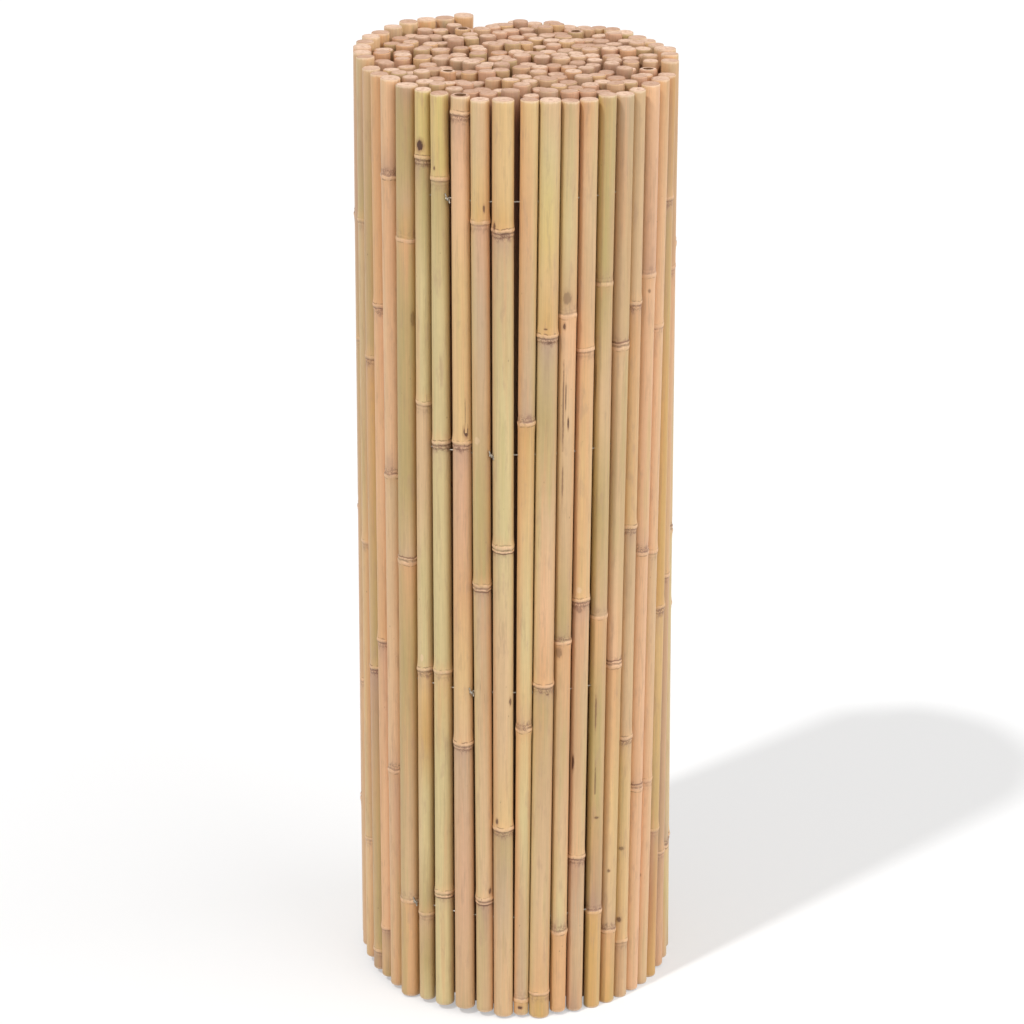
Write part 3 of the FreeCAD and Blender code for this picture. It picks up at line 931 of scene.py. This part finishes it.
@functools.cache
def skin_material():
    """Dry bamboo skin, with a painted highlight at the sawn edges and painted shade down the inner
    canes.
    """
    made, tree = new_material("Bamboo skin")
    place = attribute(tree, "skin_place", "Vector")
    ends = outputs_of(add_node(tree, "ShaderNodeSeparateXYZ", {0: attribute(tree, "ends", "Vector")}))
    from_top, from_foot, inside = ends["X"], ends["Y"], ends["Z"]
    fibres = use_group(tree, fibre_group(), {"Place": place, "Contrast": 0.42})["Value"]
    marks = use_group(tree, joint_group(), {
        "Offset": attribute(tree, "node_offset", "Fac"), "Place": place,
        "Look": attribute(tree, "node_look", "Color")})
    scar = use_group(tree, scar_group(), {
        "Spot": attribute(tree, "scar_place", "Vector"), "Place": place})
    specks = use_group(tree, speck_group(), {"Place": place, "Share": 0.8})
    warm, green, dull, worn = (
        use_group(tree, stain_group(), {
            "Place": place, "Scale": scale, "Length": long,
            "Threshold": edge, "Softness": soft})["Mask"]
        for scale, long, edge, soft in (
            (95.0, 0.045, 0.50, 0.20), (80.0, 0.06, 0.53, 0.18), (130.0, 0.22, 0.54, 0.16),
            (210.0, 0.10, 0.56, 0.10)))
    # The band along the sawn ends that gets the pale cut fibres and a painted highlight on the rim
    ragged = (noise(place, 0.3, 240.0, 2.0) - 0.5) * 0.0040
    near_end = ramp(maths("MINIMUM", from_top, from_foot) + ragged, 0.0032, 0.0008)
    base = stained(attribute(tree, "skin_tone", "Color"), (
        (warm, 0.36, (224, 166, 118)),
        (green, 0.30, (192, 180, 116)),
        (dull, 0.34, (188, 150, 124)),
        (worn, 0.20, (172, 136, 104)),
        (marks["Bloom"], 0.50, (184, 148, 128)),
        (marks["Blush"], 0.34, (230, 180, 130)),
        (marks["Smudge"], 0.62, (150, 108, 90)),
        (marks["Ridge"], 0.62, (238, 196, 158)),
        (marks["Line"], 0.72, (118, 78, 58)),
        (scar["Pale"], 0.70, (240, 206, 166)),
        (scar["Halo"], 0.55, (150, 96, 66)),
        (scar["Heart"], 0.94, (74, 44, 34)),
        (specks["Specks"], 0.50, (120, 84, 58)),
        (specks["Checks"], 0.50, (120, 86, 62)),
        # Pale sawn edges, partly pale cut fibres and partly a painted highlight on the rim, weak on the
        # inner canes
        (near_end, inside * -0.45 + 0.55, (240, 212, 182)),
        # Painted shade on the inner canes: browner and darker just under their sawn tops, where the
        # stubs stand close
        (ramp(from_top, 0.0004, 0.0016), inside * 0.42, (170, 124, 102)),
        # and darker still further down, painted shade in the gaps between the inner canes
        (ramp(from_top, 0.008, 0.040), inside * 0.60, (138, 92, 70))))
    fibre_grey = result(tree, "ShaderNodeCombineXYZ", {0: fibres, 1: fibres, 2: fibres})
    base = mix(1.0, base, fibre_grey, "MULTIPLY")
    return finish_material(made, {
        "Base Color": base, "Roughness": dull * 0.14 + fibres * 0.46, "Specular IOR Level": 0.42},
        fibres * 0.5 + marks["Height"] * 0.6 - scar["Heart"] * 0.5, 0.35)


@functools.cache
def sawn_material():
    """A cane's sawn end: pale, with the fibre bundles' dots closer towards the skin."""
    made, tree = new_material("Sawn bamboo")
    place = attribute(tree, "skin_place", "Vector")
    out = attribute(tree, "from_middle", "Fac")
    inside = result(tree, "ShaderNodeSeparateXYZ", {0: attribute(tree, "ends", "Vector")}, "Z")
    flat = result(tree, "ShaderNodeMapping", {"Vector": place, "Scale": (1, 1, 0.05)})
    dots = result(tree, "ShaderNodeTexVoronoi", {"Vector": flat, "Scale": 1300.0}, "Distance")
    dots = ramp(dots, 0.22, 0.40, 1.0, 0.0)
    cloud = noise(place, 0.3, 240.0, 4.0)
    tint = ramp(noise(place, 0.05, 14.0, 1.0), 0.35, 0.65)
    base = stained(mix(tint, colour(236, 204, 179), colour(201, 164, 140)), (
        (inside, 0.10, (192, 152, 130)),
        (ramp(cloud, 0.42, 0.68), 0.45, (190, 144, 116)),
        (dots * ramp(out, 0.25, 0.95, 0.25, 1.0), 0.35, (190, 142, 106)),
        # The darker rim under the skin, and the pith
        (ramp(out, 0.84, 0.97), inside * 0.22 + 0.42, (160, 114, 90)),
        (ramp(out, 0.26, 0.12), 0.45, (180, 136, 102))))
    return finish_material(made, {
        "Base Color": base, "Roughness": cloud * 0.15 + 0.70, "Specular IOR Level": 0.25},
        cloud + dots * -0.5, 0.4)


@functools.cache
def hollow_material():
    """The dark inner wall of a hollow cane."""
    made, tree = new_material("Hollow bamboo")
    cloud = noise(attribute(tree, "skin_place", "Vector"), 0.1, 300.0, 3.0)
    base = mix(cloud, colour(120, 86, 60), colour(170, 130, 96))
    return finish_material(made, {
        "Base Color": base, "Roughness": cloud * 0.1 + 0.8, "Specular IOR Level": 0.2})


@functools.cache
def wire_material():
    """Galvanised wire, dulled in patches."""
    made, tree = new_material("Galvanised wire")
    cloud = noise(result(tree, "ShaderNodeTexCoord", None, "Object"), 1.0, 900.0, 3.0)
    base = mix(ramp(cloud, 0.35, 0.7), colour(190, 184, 172), colour(146, 138, 124))
    return finish_material(made, {
        "Base Color": base, "Roughness": ramp(cloud, 0.3, 0.8, 0.38, 0.6),
        "Metallic": ramp(cloud, 0.2, 0.9, 0.85, 0.6)})


# The pieces

def settle(piece, slot, *nodes):
    """The finished piece rides on the panel and stands for its solids."""
    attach(piece, "root")
    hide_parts(*nodes)


def names_of(start):
    """The frame's nodes whose names start like this, in order."""
    return sorted(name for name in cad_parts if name.startswith(start))


class BAMBOO_OT_outer_canes(bpy.types.Operator):
    """Model the outer turn's canes, each with its nodes, tones and sawn ends"""
    bl_idname = "bamboo.outer_canes"
    bl_label = "Outer canes"

    def execute(self, context):
        sides = context.scene.cane_shape.sides
        known = END_TONES + FRONT_TONES
        for number, name in enumerate(names_of("cane_"), 1):
            chance = random.Random(FIRST_SEED + number)
            cane = outer_cane_from(name)
            words = known[number - 1] if number <= len(known) else random_words(
                chance, len(cane["nodes"]), BACK_TONES)
            front = number - 1 - len(END_TONES)
            looks = NODE_LOOKS[front] if 0 <= front < len(NODE_LOOKS) else ""
            upside_down = looks[:1].isupper() if looks else chance.random() < UPSIDE_DOWN_SHARE
            scars = [(height, degrees, width * SCAR_REACH, tall * SCAR_REACH, dark)
                     for owner, height, degrees, width, tall, dark in FRONT_SCARS if owner == number]
            by_chance = (chance.choice(SIDE_CHOICES), chance.choice(SIDE_CHOICES))
            side_tones = SIDE_TONES.get(number, by_chance)
            side_share = SEEN_SIDE_SHARE if number in SIDE_TONES else OTHER_SIDE_SHARE
            skin = skin_plan(words, looks, upside_down, side_tones, side_share, scars)
            piece = fit_cane("bamboo_" + name, cane, sides, JOINT_PROFILE, STEP, skin, chance)
            settle(piece, "cane", name)
        return {"FINISHED"}


class BAMBOO_OT_inner_canes(bpy.types.Operator):
    """Model the canes of the inner turns"""
    bl_idname = "bamboo.inner_canes"
    bl_label = "Inner canes"

    def execute(self, context):
        shape = context.scene.cane_shape
        for node in names_of("core_canes") + names_of("turn_"):
            chance = random.Random(node)
            made = []
            for cane in inner_canes_from(node):
                cane["top"] += either_way(chance, shape.uneven)
                sides, step = shape.inner_sides, UNBROKEN
                if node == "turn_2_canes":
                    # Seen between the outer canes, so these have nodes and more sides
                    sides, step = shape.inner_sides + 4, INNER_STEP
                    height = cane["foot"] + chance.uniform(0.05, 0.30)
                    while height < cane["top"] - 0.03:
                        cane["nodes"].append(height)
                        height += chance.uniform(0.27, 0.38)
                skin = skin_plan(random_words(chance, len(cane["nodes"]), INNER_TONES), inside=1.0)
                made.append(fit_cane("turn_cane", cane, sides, PLAIN_JOINT, step, skin, chance))
            activate(made[0])
            for cane in made:
                cane.select_set(True)
            bpy.ops.object.join()
            piece = context.active_object
            piece.name = "bamboo_" + node
            settle(piece, "cane", node)
        return {"FINISHED"}


class BAMBOO_OT_wires(bpy.types.Operator):
    """Thread the wires through the canes"""
    bl_idname = "bamboo.wires"
    bl_label = "Wires"

    def execute(self, context):
        shape = context.scene.wire_shape
        outer = [outer_cane_from(name) for name in names_of("cane_")]
        for name in names_of("wire_"):
            chance = random.Random(name)
            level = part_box(name)[1].z - SOLID_WIRE_HALF
            holes = [np.array((*axis_at(cane, level), level + either_way(chance, shape.waver)))
                     for cane in outer]
            away = (holes[0] - holes[1]) / np.linalg.norm(holes[0] - holes[1])
            bend = holes[0] + away * (outer[0]["foot_radius"] + TAIL_OUT)
            tail = [bend + away * past - (0, 0, down) for past, down in TAIL]
            twist = twist_between(outer[TWISTS[name] - 1], outer[TWISTS[name]], level, shape.twist)
            piece = wire_piece("galvanised_" + name, [tail + holes] + twist, shape.thickness)
            piece.data.materials.append(wire_material())
            settle(piece, "wire", name)
        return {"FINISHED"}


def twist_between(left, right, level, reach):
    """A second strand that is wound round the wire in the gap between two canes, and its tails."""
    left, right = axis_at(left, level), axis_at(right, level)
    middle = (left + right) / 2
    along = (right - left) / np.linalg.norm(right - left)
    out = middle / np.linalg.norm(middle)

    def spot(aside, outwards, up):
        """A place in the gap, outwards from where the strand is wound. The rest is in reaches."""
        return (*(middle + along * reach * aside + out * (TWIST_OUT + outwards)), level + reach * up)

    strand = []
    for n in range(TWIST_POINTS + 1):
        turn = TWIST_TURNS * math.tau * n / TWIST_POINTS
        aside = (2 * n / TWIST_POINTS - 1) * 0.8
        strand.append(spot(aside, reach * 0.6 * math.cos(turn), 0.6 * math.sin(turn)))
    return [strand] + [[spot(side * 0.5, 0.0004, 0), spot(side * 1.1, 0.0014, up)]
                       for side, up in ((-1, 2.6), (1, -1.6))]


def wire_piece(name, lines, thickness):
    """A round wire along these lines of points."""
    line = bpy.data.curves.new(name, "CURVE")
    line.dimensions = "3D"
    line.bevel_depth = thickness / 2
    line.bevel_resolution = 2
    line.use_fill_caps = True
    for points in lines:
        spline = line.splines.new("POLY")
        spline.points.add(len(points) - 1)
        for point, place in zip(spline.points, points):
            point.co = (*place, 1.0)
    made = bpy.data.objects.new(name, line)
    bpy.context.scene.collection.objects.link(made)
    activate(made)
    bpy.ops.object.convert(target="MESH")
    bpy.ops.object.shade_smooth()
    return bpy.context.active_object


def camera_rays(tree):
    """A mask that is 1 where the camera looks, straight, in a reflection or through glass."""
    rays = outputs_of(add_node(tree, "ShaderNodeLightPath"))
    return highest(rays["Is Camera Ray"], rays["Is Glossy Ray"], rays["Is Transmission Ray"])


class BAMBOO_OT_studio(bpy.types.Operator):
    """Set up the floor, the lights and the camera"""
    bl_idname = "bamboo.studio"
    bl_label = "Studio"

    def execute(self, context):
        studio = context.scene.studio
        deselect()
        bpy.ops.mesh.primitive_plane_add(size=FLOOR_SIZE)
        floor = context.active_object
        floor.name = "floor"
        made, tree = new_material("Studio floor")
        tree.nodes.clear()
        glow = result(tree, "ShaderNodeEmission", {
            "Color": WHITE, "Strength": camera_rays(tree) * studio.glow})
        grey = (studio.shadow, studio.shadow, studio.shadow, 1)
        matt = result(tree, "ShaderNodeBsdfDiffuse", {"Color": grey})
        add_node(tree, "ShaderNodeOutputMaterial", {
            "Surface": result(tree, "ShaderNodeAddShader", {0: glow, 1: matt})})
        floor.data.materials.append(made)

        world = context.scene.world or bpy.data.worlds.new("Studio")
        context.scene.world = world
        world.use_nodes = True
        tree = world.node_tree
        tree.nodes.clear()
        strength = camera_rays(tree) * (1.0 - studio.around) + studio.around
        add_node(tree, "ShaderNodeOutputWorld", {
            "Surface": result(tree, "ShaderNodeBackground", {"Color": WHITE, "Strength": strength})})

        for name, (width, azimuth, elevation) in LAMPS.items():
            bpy.ops.object.light_add(type="SUN", location=(0, 0, 3))
            lamp = context.active_object
            lamp.name = name
            lamp.data.energy = getattr(studio, name)
            lamp.data.angle = math.radians(width)
            lamp.rotation_euler = (math.radians(90 - elevation), 0, math.radians(azimuth))

        bpy.ops.object.camera_add(location=(-studio.aside, -studio.distance, studio.height),
                                  rotation=(math.pi / 2 - studio.pitch, 0, 0))
        camera = context.active_object
        camera.data.lens = studio.lens
        camera.data.sensor_width = 36.0
        camera.data.clip_end = 2 * FLOOR_SIZE
        context.scene.camera = camera
        context.scene.view_settings.view_transform = "Standard"
        return {"FINISHED"}


class BAMBOO_PT_panel(bpy.types.Panel):
    """The panel's pieces, in the order in which they are made"""
    bl_idname = "BAMBOO_PT_panel"
    bl_label = "Bamboo panel"
    bl_space_type = "VIEW_3D"
    bl_region_type = "UI"
    bl_category = "Bamboo Panel"

    def draw(self, context):
        for operator in OPERATORS:
            self.layout.operator(operator.bl_idname)


PROPERTIES = (("bamboo_tones", BambooTones), ("cane_shape", CaneShape),
              ("wire_shape", WireShape), ("studio", Studio))
OPERATORS = (BAMBOO_OT_outer_canes, BAMBOO_OT_inner_canes, BAMBOO_OT_wires, BAMBOO_OT_studio)


def register():
    for name, kind in PROPERTIES:
        bpy.utils.register_class(kind)
        setattr(bpy.types.Scene, name, bpy.props.PointerProperty(type=kind))
    for kind in (*OPERATORS, BAMBOO_PT_panel):
        bpy.utils.register_class(kind)


def unregister():
    for kind in (BAMBOO_PT_panel, *reversed(OPERATORS)):
        bpy.utils.unregister_class(kind)
    for name, kind in reversed(PROPERTIES):
        delattr(bpy.types.Scene, name)
        bpy.utils.unregister_class(kind)


def main():
    register()
    bpy.ops.bamboo.outer_canes()
    bpy.ops.bamboo.inner_canes()
    bpy.ops.bamboo.wires()
    for cane in masters.values():
        bpy.data.objects.remove(cane)
    masters.clear()
    bpy.ops.bamboo.studio()


if __name__ == "__main__":
    main()
